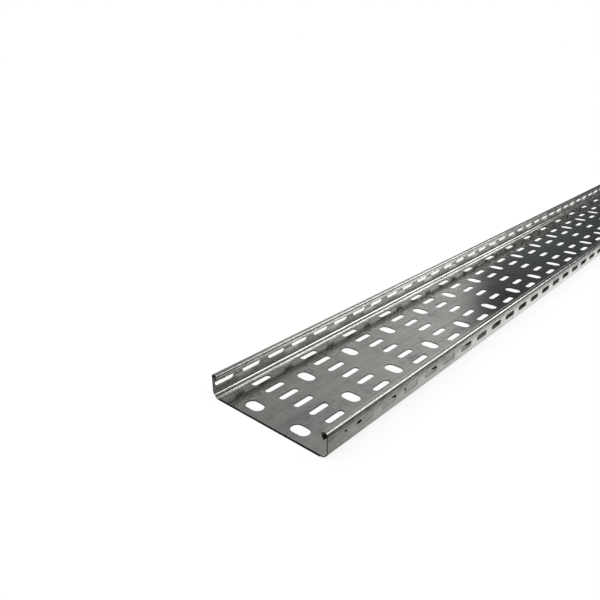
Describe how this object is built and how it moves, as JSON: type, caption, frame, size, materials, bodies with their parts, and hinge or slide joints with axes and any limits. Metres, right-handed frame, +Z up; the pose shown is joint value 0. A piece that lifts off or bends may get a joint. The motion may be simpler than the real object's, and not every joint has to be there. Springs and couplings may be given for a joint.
{
  "type": "perforated cable tray",
  "caption": "Shallow channel of perforated galvanised steel that carries cables: slotted base and flanges, with the flange tops returned inwards to a lip.",
  "frame": {"origin": "middle of the tray's underside, on the surface that it lies on", "axes": "+X along the tray, away from the end that the picture shows; +Y across it; +Z up"},
  "size_m": [3, 0.15, 0.026],
  "materials": {
    "galvanised_steel": "galvanised, dull grey and faintly mottled"
  },
  "bodies": {
    "root": {"cable_tray": "galvanised_steel"}
  },
  "joints": []
}
